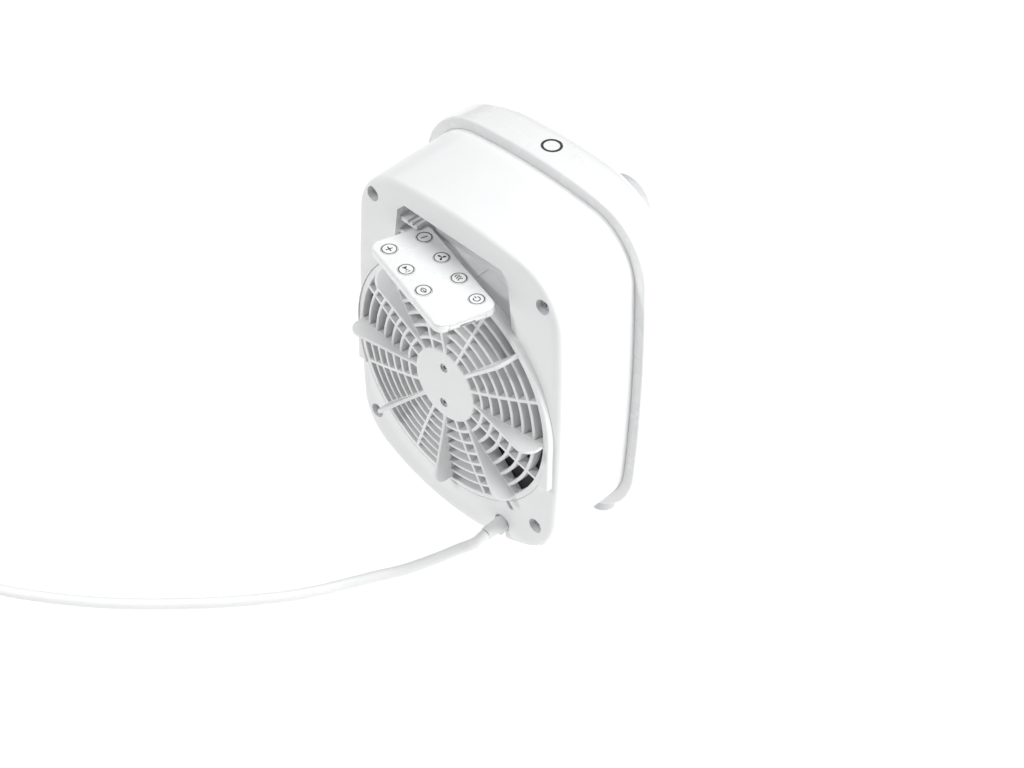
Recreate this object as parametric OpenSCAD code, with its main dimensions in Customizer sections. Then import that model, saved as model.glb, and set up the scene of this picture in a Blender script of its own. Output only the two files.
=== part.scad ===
// Compact fan heater: bowed rear tub, wider front frame with a domed panel, domed rear intake
// grille, and a slim remote control that lives in the hand recess above the grille.
// Front faces -Y, back faces +Y, Z is up and the feet stand on z = 0. Millimetres.

/* [Body] */
// Width of the rear tub
body_w = 176; // [172:1:184]
// Height of the tub's highest point above the floor
body_top = 250; // [246:1:256]
// Height of the tub's lowest point above the floor
body_bottom = 11; // [9:1:14]
// Depth of the tub, from its back face to the front frame
tub_depth = 63.5; // [60:0.5:67]
// How much higher the tub sits at the front frame than at its back face
tub_rise = 4; // [2:0.5:5]
// How far the front frame stands out round the tub, where it starts
flange_w = 7.5; // [6:0.5:9]
// How much further the front frame flares out towards the front
frame_flare = 0.5; // [0.5:0.5:2]
// Depth of the front frame, up to the seam round the front panel
frame_depth = 36; // [34:1:40]
// Wall thickness of the housings
wall = 2.5; // [2:0.1:3]
// Radius of the body's corners, seen from behind
corner_r = 40; // [34:1:46]
// How much rounder the corners are at the seam round the front panel
front_corner_r = 36; // [28:1:38]

/* [Rear grille] */
// Height of the fan's axis above the floor
fan_z = 124.5; // [122:0.5:127]
// Radius of the plain disc in the middle of the grille
hub_r = 25.6; // [24:0.2:27]
// Outer radius of the ring of slots
slots_r = 79.6; // [78:0.2:80]
// Number of rings of slots
slot_rings = 7; // [6:1:8]
// Width of the thin ribs of the grille
rib_w = 2.3; // [1.8:0.1:2.6]
// How far the middle of the grille stands out from the back face
dome_h = 9.4; // [7:0.2:11]
// Thickness of the fins on the main spokes
fin_w = 2.4; // [2:0.1:3]
// How far the crests of the fins stand out from the back face
fin_h = 16.8; // [14:0.2:18]

/* [Hand recess] */
// Width of the recess along its top edge
recess_top_w = 94; // [92:1:98]
// Width of the recess at its foot
recess_foot_w = 105; // [102:1:108]
// Depth of the recess
recess_depth = 16; // [15.5:0.5:20]

/* [Remote control] */
// Length of the remote control
remote_l = 86; // [84:1:88]
// Width of the remote control
remote_w = 40; // [38:1:42]
// Thickness of the remote control
remote_t = 7; // [6.8:0.2:8]
// Angle that the remote lies turned at, seen from above
remote_yaw = -15; // [-16:1:-12]

/* [Knob] */
// Diameter of the control knob
knob_d = 36; // [34:1:42]
// How far the knob stands out from the front panel
knob_h = 13; // [12:1:15]

/* [Power cord] */
// Diameter of the power cord
cord_d = 7; // [6.5:0.1:7.5]

/* [Hidden] */
$fn = 96;

// ---- places along the depth: back_y is the back face, and everything is measured from it
back_y = 34.8;
flange_y = back_y - tub_depth;
seam_y = flange_y - frame_depth;
front_y = seam_y - 6.5;
knob_front_y = front_y - knob_h;

// ---- outline of the body in the XZ plane, from arcs that meet smoothly
side_bow_r = 1200;
top_bow_r = 420;
bottom_bow_r = 150;
mid_z = (body_top + body_bottom) / 2;
screw_z = body_bottom + 127;
screw_dx = 72;
screw_dz = 88;

// Point where two circles meet, on the side that `side` (1 or -1) picks
function circles_meet(c1, r1, c2, r2, side) =
    let (d = norm(c2 - c1), a = (r1 * r1 - r2 * r2 + d * d) / (2 * d), h = sqrt(r1 * r1 - a * a),
         u = (c2 - c1) / d)
    c1 + u * a + [-u[1], u[0]] * h * side;
function arc(c, r, a0, a1, n) = [for (i = [0 : n - 1]) c + r * [cos(a0 + (a1 - a0) * i / n), sin(a0 + (a1 - a0) * i / n)]];
function heading(p) = atan2(p[1], p[0]);

// One quarter of the outline, drawn up from the middle of the right side; half height h, end bow r_end
// and corner radius corner
function quarter(h, r_end, g, corner) =
    let (a = body_w / 2, side_c = [a - side_bow_r, 0], end_c = [0, h - r_end],
         c = circles_meet(side_c, side_bow_r - corner, end_c, r_end - corner, 1),
         t1 = heading(c - side_c), t2 = heading(c - end_c))
    concat(arc(side_c, side_bow_r + g, 0, t1, 3), arc(c, corner + g, t1, t2, 8),
           arc(end_c, r_end + g, t2, 90, 5));
function flip_x(pts) = [for (i = [len(pts) - 1 : -1 : 0]) [-pts[i][0], pts[i][1]]];
function flip_z(pts) = [for (i = [len(pts) - 1 : -1 : 0]) [pts[i][0], -pts[i][1]]];
function drop_first(pts) = [for (i = [1 : len(pts) - 1]) pts[i]];

// Whole outline, grown outwards by g
function body_outline(g, corner = corner_r) =
    let (h = (body_top - body_bottom) / 2, upper = quarter(h, top_bow_r, g, corner),
         lower = drop_first(quarter(h, bottom_bow_r, g, corner)))
    [for (p = concat(upper, [[0, h + g]], flip_x(upper), -lower, [[0, -h - g]], flip_z(lower))) p + [0, mid_z]];

// ---- helpers that lay 2D shapes across the depth
// Fills the depth from y0 back to y1 with a shape drawn in X and Z
module across(y0, y1) {
    translate([0, y1, 0]) rotate([90, 0, 0]) linear_extrude(y1 - y0) children();
}
// Fills outwards from the plane at y by h; the shape is drawn as seen from behind
module outward(y, h) {
    translate([0, y, 0]) rotate([90, 0, 180]) linear_extrude(h) children();
}
module tube_y(x, z, y0, y1, r) {
    translate([x, y1, z]) rotate([90, 0, 0]) cylinder(r = r, h = y1 - y0);
}
// Thin slice of the tub's outline at the plane y, raised as the tub is there
module tub_slice(g, y) {
    translate([0, 0, tub_rise * (back_y - y) / tub_depth]) across(y, y + 0.01) polygon(body_outline(g));
}
module outline_slab(g, y0, y1) {
    hull() {
        tub_slice(g, y0);
        tub_slice(g, y1 - 0.01);
    }
}
module rounded_rect(w, h, r) {
    hull() for (x = [-1, 1], z = [-1, 1]) translate([x * (w / 2 - r), z * (h / 2 - r)]) circle(r);
}
module soft_box(size, r) {
    for (s = [[size[0] - 2 * r, size[1]], [size[0], size[1] - 2 * r]])
        translate([-s[0] / 2, -s[1] / 2, 0]) cube([s[0], s[1], size[2]]);
    for (x = [-1, 1], y = [-1, 1])
        translate([x * (size[0] / 2 - r), y * (size[1] / 2 - r), 0]) cylinder(r = r, h = size[2]);
}
module cap_screw(head_r, head_h, shank_r, shank_l) {
    difference() {
        union() {
            cylinder(r = head_r, h = head_h);
            translate([0, 0, -shank_l]) cylinder(r = shank_r, h = shank_l);
        }
        for (a = [0, 90]) rotate(a) translate([-head_r * 0.55, -0.5, head_h * 0.45]) cube([head_r * 1.1, 1, head_h]);
    }
}
module screw_places() {
    for (x = [-1, 1], z = [-1, 1]) translate([x * screw_dx, back_y, screw_z + z * screw_dz]) rotate([-90, 0, 0]) children();
}

// ---- remote control: its own x runs along it, y across it, and z up out of its face, from its underside
remote_x = 0.9;
remote_y = back_y + 17.3;
remote_z = screw_z + 71.5;
remote_r = 6;
shell_split = 5.4;
shell_floor = 1.2;
key_r = 5.2;
key_column = 11.7;
key_pitch = 21.5;
key_rise = 0.3;
tray_w = 24;
tray_l = 24;

// ---- casing
tub_front_y = flange_y - 5;
boss_r = 84.5;
boss_h = 4;
skirt_w = 16;
boss_leg_z = fan_z - 34;
dome_r = 550;
dome_centre_y = back_y + dome_h - dome_r;
recess_top_z = screw_z + 95;
recess_foot_z = screw_z + 42;
recess_shift = 3;
grille_seat_r = 84;
notch_x = -43.5;
notch_z = screw_z - 106;
latch_x = 52;
latch_z = fan_z - 69;
well_r = 5;
well_depth = 6;

// Tub with the edge round its back face rounded over in three steps
module tub_solid() {
    hull() {
        tub_slice(0, tub_front_y);
        tub_slice(0, back_y - 6);
        tub_slice(-0.8, back_y - 2.9);
        tub_slice(-2.4, back_y - 1.1);
        tub_slice(-5, back_y - 0.01);
    }
}
// Raised arch over the grille, with straight legs that stop at boss_leg_z
module arch_boss() {
    outward(back_y - 1, boss_h + 1) difference() {
        union() {
            translate([0, fan_z]) circle(boss_r);
            translate([-boss_r, boss_leg_z]) square([2 * boss_r, fan_z - boss_leg_z]);
        }
        translate([-boss_r, 0]) square([2 * boss_r, boss_leg_z]);
    }
}
// Cone that blends the lower half of the grille's edge into the back face
module skirt() {
    intersection() {
        translate([0, back_y - 1, fan_z]) rotate([-90, 0, 0]) cylinder(r1 = boss_r + skirt_w, r2 = boss_r - 1, h = boss_h);
        outline_slab(-6, back_y - 2, back_y + 10);
        translate([-body_w / 2, back_y - 2, 0]) cube([body_w, 12, boss_leg_z + 0.5]);
    }
}
// Hand recess, wider at its foot, bounded below by the arch over the grille
module recess_shape(g) {
    top = recess_top_w / 2 + g;
    foot = recess_foot_w / 2 + g;
    corner = 6;
    difference() {
        translate([-recess_shift, 0]) polygon([
            [-foot, recess_foot_z - g], [-top, recess_top_z + g - corner], [corner - top, recess_top_z + g],
            [top - corner, recess_top_z + g], [top, recess_top_z + g - corner], [foot, recess_foot_z - g]
        ]);
        translate([0, fan_z]) circle(boss_r + 0.5 - g);
    }
}
module rear_housing() color("white") difference() {
    union() {
        difference() {
            tub_solid();
            outline_slab(-wall, tub_front_y - 1, back_y - 3);
        }
        arch_boss();
        skirt();
        screw_places() translate([0, 0, -14]) cylinder(r = well_r + 1.8, h = 11.5);
    }
    tube_y(0, fan_z, back_y - 10, back_y + 20, grille_seat_r);
    outward(back_y - 10, 40) recess_shape(0);
    screw_places() translate([0, 0, -well_depth]) cylinder(r = well_r, h = 10);
    screw_places() translate([0, 0, -20]) cylinder(r = 2.1, h = 20);
    tube_y(notch_x, notch_z, back_y - 10, back_y + 5, 5.2);
    translate([-latch_x, back_y - 5, latch_z]) rotate([0, 30, 0]) cube([3.4, 12, 8.4], center = true);
    translate([notch_x - 3, back_y - 10, body_bottom - 8]) cube([6, 20, notch_z - body_bottom + 8]);
}
// Lining of the recess, with a ledge under the remote control and a grooved rail over its inner end
ledge_top_z = remote_z - 0.4;
ledge_x = -12;
rail_z = remote_z + remote_t + 0.6;
rail_x = 36.5;
module remote_pocket() color("white") {
    difference() {
        outward(back_y - recess_depth - 2, recess_depth - 1.2) recess_shape(2);
        outward(back_y - recess_depth, recess_depth + 10) recess_shape(0);
        tube_y(0, fan_z, grille_back_y - 1.5, back_y, grille_seat_r);
    }
    intersection() {
        outward(back_y - recess_depth - 0.5, recess_depth - 3) recess_shape(0.5);
        translate([ledge_x, back_y - recess_depth - 1, ledge_top_z - 2.4]) cube([80, recess_depth - 2, 2.4]);
    }
    difference() {
        intersection() {
            outward(back_y - recess_depth - 0.5, recess_depth - 2.7) recess_shape(0.5);
            translate([rail_x, back_y - recess_depth - 1, rail_z]) cube([40, recess_depth, 3]);
        }
        for (x = [2, 6]) translate([rail_x + x, back_y - recess_depth, rail_z + 1.4]) cube([2, recess_depth + 2, 3]);
    }
}
module housing_screws() color("lightgray") screw_places() translate([0, 0, -well_depth + 0.2]) cap_screw(3.6, 2.2, 1.7, 16);

// ---- rear grille
slot_w = (slots_r - hub_r - (slot_rings - 1) * rib_w) / slot_rings;
grille_back_y = back_y - 2.5;
motor_r = 22;
motor_back_y = back_y + 4.5;
hub_seat_y = back_y + 6.6;
hub_screw_dz = 14;
hub_screw_r = 3.2;

// Side view of a fin, along the radius and outwards: it rises from the hub to a round end
fin_end_r = 9;
fin_end = [slots_r - 8, fin_h - fin_end_r];
fin_foot = [hub_r - 3, dome_h - 1.2];
module fin_profile() {
    crest_angle = atan((fin_h - fin_foot[1]) / (fin_end[0] - fin_foot[0]));
    polygon(concat([[fin_foot[0], 1], fin_foot], arc(fin_end, fin_end_r, 90 + crest_angle, 0, 10),
                   [[fin_end[0] + fin_end_r, fin_end[1]], [fin_end[0] + fin_end_r, 1]]));
}
module fins() {
    for (i = [0 : 7]) translate([0, back_y, fan_z]) rotate([0, 45 * i, 0])
        linear_extrude(fin_w, center = true) fin_profile();
}
module spokes() {
    for (i = [0 : 7], w = [[0, fin_w + 0.8], [22.5, rib_w]]) rotate(45 * i + w[0])
        translate([hub_r - 2, -w[1] / 2]) square([slots_r - hub_r + 4, w[1]]);
}
// Disc with rings of slots, which the spokes bridge
module grille_pattern() {
    difference() {
        circle(grille_seat_r - 0.2);
        for (i = [0 : slot_rings - 1]) difference() {
            circle(hub_r + i * (slot_w + rib_w) + slot_w);
            circle(hub_r + i * (slot_w + rib_w));
            spokes();
        }
    }
}
module dome_cut() {
    intersection() {
        translate([0, dome_centre_y, fan_z]) sphere(r = dome_r, $fn = 200);
        translate([-100, back_y - 30, fan_z - 100]) cube([200, 60, 200]);
    }
}
module rear_grille() color("white") difference() {
    union() {
        intersection() {
            outward(grille_back_y, 30) translate([0, fan_z]) grille_pattern();
            dome_cut();
        }
        fins();
    }
    tube_y(0, fan_z, back_y - 10, motor_back_y, motor_r + 0.4);
    for (z = [-1, 1]) tube_y(0, fan_z + z * hub_screw_dz, back_y - 10, back_y + 30, 1.8);
    for (z = [-1, 1]) tube_y(0, fan_z + z * hub_screw_dz, hub_seat_y, back_y + 30, hub_screw_r);
}
module grille_screws() color("lightgray") for (z = [-1, 1])
    translate([0, hub_seat_y, fan_z + z * hub_screw_dz]) rotate([-90, 0, 0]) cap_screw(2.9, 1.8, 1.5, 8);
// Fine mesh behind the slots, with a hole in the middle for the motor
module dust_filter() color([0.08, 0.08, 0.09]) difference() {
    tube_y(0, fan_z, grille_back_y - 1.2, grille_back_y - 0.2, grille_seat_r - 0.4);
    tube_y(0, fan_z, grille_back_y - 2, grille_back_y + 1, motor_r + 1);
}

// ---- front frame and panel
frame_round = 18;
rim_turn = 58;
frame_lift = 3;
widest_g = flange_w + frame_flare;
widest_y = seam_y + frame_round * sin(rim_turn);
rim_g = widest_g - frame_round * (1 - cos(rim_turn));
post_r = 4;

// Slab of the body's outline as it is in front of the flange, with the corner radius given
module lifted_slab(g, y0, y1, corner = corner_r + front_corner_r) {
    translate([0, 0, frame_lift]) across(y0, y1) polygon(body_outline(g, corner));
}
module frame_solid() {
    hull() {
        tub_slice(flange_w - 0.8, flange_y - 0.01);
        tub_slice(flange_w, flange_y - 0.8);
        for (t = [0 : 0.25 : 1]) {
            turn = rim_turn * t;
            y = widest_y - frame_round * sin(turn);
            lifted_slab(widest_g - frame_round * (1 - cos(turn)), y, y + 0.01, corner_r + front_corner_r * t);
        }
    }
}
// Posts that the housing's screws bite into, each on a web from the frame's wall
module frame_posts() {
    for (x = [-1, 1], z = [-1, 1]) tube_y(x * screw_dx, screw_z + z * screw_dz, flange_y - 20, back_y - 14.2, post_r);
    intersection() {
        outline_slab(1, flange_y - 20, flange_y - 6);
        for (x = [-1, 1], z = [-1, 1])
            translate([x * (screw_dx + 12) - 12, flange_y - 20, screw_z + z * screw_dz - 2]) cube([24, 14, 4]);
    }
}
module front_frame() color("white") difference() {
    union() {
        difference() {
            frame_solid();
            outline_slab(0.15, flange_y - 6, flange_y + 1);
            lifted_slab(rim_g - 2.2, seam_y - 1, flange_y - 16);
            outline_slab(-wall - 0.2, flange_y - 17, flange_y + 1);
        }
        frame_posts();
    }
    for (x = [-1, 1], z = [-1, 1]) tube_y(x * screw_dx, screw_z + z * screw_dz, back_y - 24, back_y - 10, 1.75);
    symbol_ring();
}
panel_edge = rim_g - 0.9;
outlet_w = 116;
outlet_h = 100;
outlet_z = body_bottom + 81;
knob_x = -28.3;
knob_z = screw_z + 78;
display_x = 34;
display_w = 52;
display_h = 24;

module outlet_shape(g) {
    translate([0, outlet_z]) rounded_rect(outlet_w + 2 * g, outlet_h + 2 * g, 22 + g);
}
module display_shape(g) {
    translate([display_x, knob_z]) rounded_rect(display_w + 2 * g, display_h + 2 * g, 8 + g);
}
// Domed panel that closes the front, with the hot air outlet, the display and the knob's seat in it
module front_panel() color("white") difference() {
    hull() {
        lifted_slab(panel_edge - 1.3, seam_y, seam_y + 3);
        lifted_slab(panel_edge - 1.9, seam_y - 1.6, seam_y);
        lifted_slab(panel_edge - 6, seam_y - 4, seam_y);
        lifted_slab(panel_edge - 14, seam_y - 6, seam_y);
        lifted_slab(panel_edge - 26, front_y, seam_y);
    }
    lifted_slab(panel_edge - 4, seam_y - 0.5, seam_y + 5);
    lifted_slab(panel_edge - 14, seam_y - 2.5, seam_y + 5);
    across(front_y - 5, seam_y + 5) outlet_shape(0);
    across(front_y - 5, seam_y + 5) display_shape(0);
    tube_y(knob_x, knob_z, front_y - 5, seam_y + 5, 5);
}
module outlet_grille() color([0.2, 0.2, 0.22]) {
    difference() {
        across(front_y + 1, seam_y - 0.2) outlet_shape(-0.3);
        across(front_y - 5, seam_y + 5) outlet_shape(-5);
    }
    intersection() {
        for (z = [outlet_z - outlet_h / 2 + 11 : 9 : outlet_z + outlet_h / 2 - 6])
            translate([-outlet_w / 2, front_y + 1.5, z]) cube([outlet_w, 5, 2]);
        across(front_y - 5, seam_y + 5) outlet_shape(-4);
    }
    for (x = [-32, 0, 32]) translate([x - 1, front_y + 3, outlet_z - outlet_h / 2 + 4]) cube([2, 3, outlet_h - 8]);
}
module display_lens() color([0.05, 0.05, 0.06]) across(front_y + 0.3, front_y + 3.5) display_shape(-0.3);
module knob_ring() color("silver") difference() {
    tube_y(knob_x, knob_z, front_y - 0.8, front_y, knob_d / 2 + 2.5);
    tube_y(knob_x, knob_z, front_y - 5, front_y + 5, knob_d / 2 - 1.5);
}
symbol_y = flange_y - 15;
symbol_r = 6.6;
symbol_w = 1.6;
symbol_t = 1.15;
frame_top_slope = atan((frame_flare + frame_lift - tub_rise) / (flange_y - 0.8 - widest_y));
symbol_z = body_top + tub_rise + flange_w + (flange_y - 0.8 - symbol_y) * tan(frame_top_slope);
// Plain ring pressed into the sloping top of the front frame
module symbol_ring() {
    translate([0, symbol_y, symbol_z]) rotate([-frame_top_slope, 0, 0]) difference() {
        translate([0, 0, 0.15 - symbol_t]) cylinder(r = symbol_r, h = symbol_t);
        translate([0, 0, -symbol_t]) cylinder(r = symbol_r - symbol_w, h = 2 * symbol_t);
    }
}
module top_symbol() color("dimgray") symbol_ring();

// ---- control knob and its encoder
knob_base_y = front_y - 2.2;
module control_knob() color("white") difference() {
    union() {
        tube_y(knob_x, knob_z, knob_front_y + 1.5, knob_base_y, knob_d / 2);
        tube_y(knob_x, knob_z, knob_front_y, knob_base_y, knob_d / 2 - 1.5);
    }
    tube_y(knob_x, knob_z, knob_front_y + 3, knob_base_y + 1, knob_d / 2 - 3);
    tube_y(knob_x, knob_z + knob_d / 2 - 5.5, knob_front_y - 1, knob_front_y + 0.6, 1.8);
    tube_y(knob_x, knob_z, knob_front_y + 2.2, knob_base_y, 2.95);
}
module encoder_shaft() color("silver") {
    tube_y(knob_x, knob_z, knob_front_y + 2.2, seam_y + 6, 2.95);
    tube_y(knob_x, knob_z, knob_front_y + 4, knob_front_y + 6, knob_d / 2 - 3.05);
}
rotor_y0 = seam_y + 0.5;
module encoder_rotor() color("silver") difference() {
    tube_y(knob_x, knob_z, rotor_y0, rotor_y0 + 4, 4.2);
    tube_y(knob_x, knob_z, rotor_y0 - 1, rotor_y0 + 5, 3.0);
}
module encoder_body() color("dimgray") difference() {
    translate([knob_x - 7, rotor_y0 - 1, knob_z - 7]) cube([14, 8.5, 14]);
    tube_y(knob_x, knob_z, rotor_y0 - 2, rotor_y0 + 4.1, 4.25);
    tube_y(knob_x, knob_z, rotor_y0 + 3, rotor_y0 + 7.2, 3.3);
}
board_y = seam_y + 8;
module control_board() color("darkgreen") difference() {
    translate([-62, board_y, knob_z - 18]) cube([124, 1.6, 30]);
    tube_y(-55, knob_z, board_y - 1, board_y + 3, 1.6);
    tube_y(57, knob_z, board_y - 1, board_y + 3, 1.6);
}
module led_display() color("ivory") translate([display_x - 20, front_y + 4, knob_z - 9]) cube([40, board_y - front_y - 4, 18]);
module ir_receiver() color("black") translate([display_x + 22.2, front_y + 4, knob_z - 3]) cube([3, board_y - front_y - 4, 6]);

// ---- fan
bulkhead_y = back_y - 54;
duct_r = 78;
duct_wall = 2;
fan_r = 74;
fan_y = back_y - 33;
impeller_hub_r = 24;
impeller_hub_l = 22;
motor_front_y = back_y - 17;
shaft_r = 2.5;
bearing_r = 6;
blades = 7;
// Duct round the impeller, on a bulkhead that fills the tub below the electronics
module fan_shroud() color("whitesmoke") difference() {
    union() {
        tube_y(0, fan_z, bulkhead_y, back_y - 10, duct_r);
        difference() {
            outline_slab(-wall - 0.3, bulkhead_y, bulkhead_y + 3);
            translate([-body_w / 2, bulkhead_y - 1, fan_z + duct_r]) cube([body_w, 5, body_top]);
        }
    }
    tube_y(0, fan_z, bulkhead_y - 1, back_y - 5, duct_r - duct_wall);
    screw_places() translate([0, 0, -70]) cylinder(r = post_r + 0.3, h = 40);
}
module fan_impeller() color([0.15, 0.15, 0.16]) difference() {
    union() {
        tube_y(0, fan_z, fan_y - impeller_hub_l / 2, fan_y + impeller_hub_l / 2, impeller_hub_r);
        for (i = [1 : blades]) translate([0, fan_y, fan_z]) rotate([0, 360 / blades * i, 0])
            translate([0, 0, impeller_hub_r - 2]) rotate([0, 0, 38]) translate([-16, -1.1, 0])
                cube([32, 2.2, fan_r - impeller_hub_r]);
    }
    difference() {
        tube_y(0, fan_z, fan_y - impeller_hub_l, fan_y + impeller_hub_l / 2 - 3, impeller_hub_r - 3);
        tube_y(0, fan_z, fan_y - impeller_hub_l, fan_y + impeller_hub_l, 6);
    }
    tube_y(0, fan_z, fan_y - impeller_hub_l, fan_y + impeller_hub_l, shaft_r);
}
module motor_shaft() color("silver") tube_y(0, fan_z, fan_y - impeller_hub_l / 2 + 1, motor_back_y - 3, shaft_r);
module motor_can() color("silver") difference() {
    tube_y(0, fan_z, motor_front_y, motor_back_y - 0.2, motor_r);
    tube_y(0, fan_z, motor_front_y - 1, motor_back_y - 2, shaft_r + 0.6);
    tube_y(0, fan_z, motor_front_y - 1, motor_front_y + 4, bearing_r);
    tube_y(0, fan_z, motor_back_y - 6, motor_back_y - 2, bearing_r);
    for (z = [-1, 1]) tube_y(0, fan_z + z * hub_screw_dz, motor_back_y - 8, motor_back_y, 1.55);
}
module motor_bearings() color("goldenrod") for (y0 = [motor_front_y, motor_back_y - 6]) difference() {
    tube_y(0, fan_z, y0, y0 + 4, bearing_r);
    tube_y(0, fan_z, y0 - 1, y0 + 5, shaft_r + 0.05);
}

// ---- heater
heater_y = seam_y + 4;
heater_w = 100;
heater_h = 86;
module heater_frame() color([0.85, 0.83, 0.78]) difference() {
    translate([-heater_w / 2 - 6, heater_y, outlet_z - heater_h / 2 - 6]) cube([heater_w + 12, 15, heater_h + 12]);
    translate([-heater_w / 2, heater_y - 1, outlet_z - heater_h / 2]) cube([heater_w, 17, heater_h]);
    for (x = [-1, 1], z = [-1, 1]) tube_y(x * (heater_w / 2 + 3), outlet_z + z * (heater_h / 2 + 3), heater_y - 1, heater_y + 17, 1.6);
}
module heater_fins() color("silver") {
    for (i = [0 : 3]) translate([-heater_w / 2 + 0.2, heater_y + 2, outlet_z - heater_h / 2 + 9 + 22 * i]) cube([heater_w - 0.4, 11, 3]);
    for (x = [-heater_w / 2 + 3 : 4 : heater_w / 2 - 3])
        translate([x, heater_y + 2.5, outlet_z - heater_h / 2 + 1]) cube([0.6, 10, heater_h - 2]);
}
module heater_terminals() color("goldenrod") for (x = [-30, 0, 30])
    translate([x - 3, heater_y + 15, outlet_z + heater_h / 2 + 1]) cube([6, 10, 0.8]);
module thermal_cutout() color("tan") translate([-12, heater_y + 15.2, outlet_z + heater_h / 2 + 8]) cube([24, 6, 10]);

// ---- electronics and wiring
main_board_y = back_y - 46;
board_z = recess_top_z - 30;
module main_board() color("darkgreen") difference() {
    translate([-64, main_board_y, board_z]) cube([128, 1.6, 36]);
    for (x = [-1, 1]) tube_y(x * 58, board_z + 31, main_board_y - 1, main_board_y + 3, 1.6);
}
module power_relays() color("royalblue") for (x = [-34, -8])
    translate([x, main_board_y - 15.2, board_z + 10]) cube([20, 15, 16]);
module terminal_block() color("seagreen") difference() {
    translate([20, main_board_y - 12.2, board_z + 12]) cube([30, 12, 12]);
    for (x = [25, 35, 45]) tube_y(x, board_z + 18, main_board_y - 13, main_board_y - 8, 2);
}
module filter_capacitor() color("gold") translate([-58, main_board_y - 12.2, board_z + 8]) cube([17, 12, 20]);
module tip_switch() color("black") difference() {
    translate([38, back_y - 42, body_bottom + 17]) cube([14, 20, 12]);
    tube_y(45, body_bottom + 23, back_y - 43, back_y - 38, 3);
}
// Bundle of wires down the side of the casing, from the main board to the cord's clamp
wire_route = [
    [-64.8, -7, 208], [-72, -7, 207], [-79, -7, 202], [-81.4, -7, 190], [-81.4, -7, 140], [-81, -7, 92],
    [-76, -7, 72], [-64, -7, 56], [-55, -5, 44], [-47, 3, 36], [-43.5, 8, 33]
];
module inner_wiring() color("firebrick") tube_along(smooth_route(wire_route, 2), 1.8, [0, 1, 0]);

// ---- feet, cord and plug
foot_places = [[-45, back_y - 30], [45, back_y - 30], [-52, flange_y - 20], [52, flange_y - 20]];
module rubber_feet() color([0.25, 0.25, 0.26]) for (p = foot_places) difference() {
    translate([p[0], p[1], 0]) cylinder(r = 8, h = p[1] > flange_y ? 21.5 : 18);
    outline_slab(0, flange_y, back_y);
    frame_solid();
    translate([p[0], p[1], -1]) cylinder(r = 3, h = 4);
}

sleeve_l = 14;
// Tapered sleeve that holds the cord in the notch at the foot of the back face
module strain_relief() color("white") translate([notch_x, back_y, notch_z]) rotate([-90, 0, 0]) {
    translate([0, 0, -6.5]) cylinder(r = 8, h = 3.2);
    translate([0, 0, -12]) cylinder(r = 5, h = 12);
    cylinder(r1 = 5, r2 = 4.2, h = sleeve_l);
}
module cord_clamp() color("white") difference() {
    translate([notch_x - 10, back_y - 26, notch_z - 6]) cube([20, 12, 13]);
    tube_y(notch_x, notch_z, back_y - 27, back_y - 13, 3.6);
    for (x = [-7, 7]) translate([notch_x + x, back_y - 20, notch_z - 8]) cylinder(r = 1.3, h = 16);
}
// Middle line of the cord, from the sleeve to the floor and out to the coil
cord_route = [
    [-43.5, 49.5, 32], [-43.5, 51.5, 31.7], [-42, 57, 28.5], [-35, 63.5, 22.5], [-28, 71, 16.5], [-20, 80.5, 10.5], [-12, 91.5, 6],
    [-4, 104, 4], [4, 121, 3.6], [12, 138.5, 3.6], [20, 153, 3.6], [28.5, 166, 3.6], [45, 188, 3.6],
    [67, 213.5, 3.6], [93, 240, 3.6], [122, 264, 3.6], [148, 282, 3.8], [172, 293.5, 4.2]
];
coil_centre = [179, 349];
coil_mean_r = 40;
coil_turns_across = 3;
coil_z = 1;
coil_h = 2 * cord_d;
coil_outer_r = coil_mean_r + coil_turns_across * cord_d / 2;
tail_angle = 30;
tail_l = 24;
tail_z = coil_z + 1.5 * cord_d;
plug_l = 32;
plug_w = 26;
plug_h = 22;
plug_neck_l = 14;
pin_l = 18;
tube_sides = 10;

// Smooth curve through the route's points: each stretch is cut into n pieces
function spline_point(p, i, t) =
    let (a = p[max(i - 1, 0)], b = p[i], c = p[i + 1], d = p[min(i + 2, len(p) - 1)])
    0.5 * ((2 * b) + (c - a) * t + (2 * a - 5 * b + 4 * c - d) * t * t + (3 * b - a - 3 * c + d) * t * t * t);
function smooth_route(p, n) = concat([for (i = [0 : len(p) - 2], k = [0 : n - 1]) spline_point(p, i, k / n)], [p[len(p) - 1]]);
function unit(v) = v / norm(v);
function tube_ring(p, i, r, across_axis) =
    let (t = unit(p[min(i + 1, len(p) - 1)] - p[max(i - 1, 0)]), side = unit(cross(t, across_axis)), up = cross(side, t))
    [for (k = [0 : tube_sides - 1]) p[i] + r * (cos(360 * k / tube_sides) * side + sin(360 * k / tube_sides) * up)];
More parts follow.
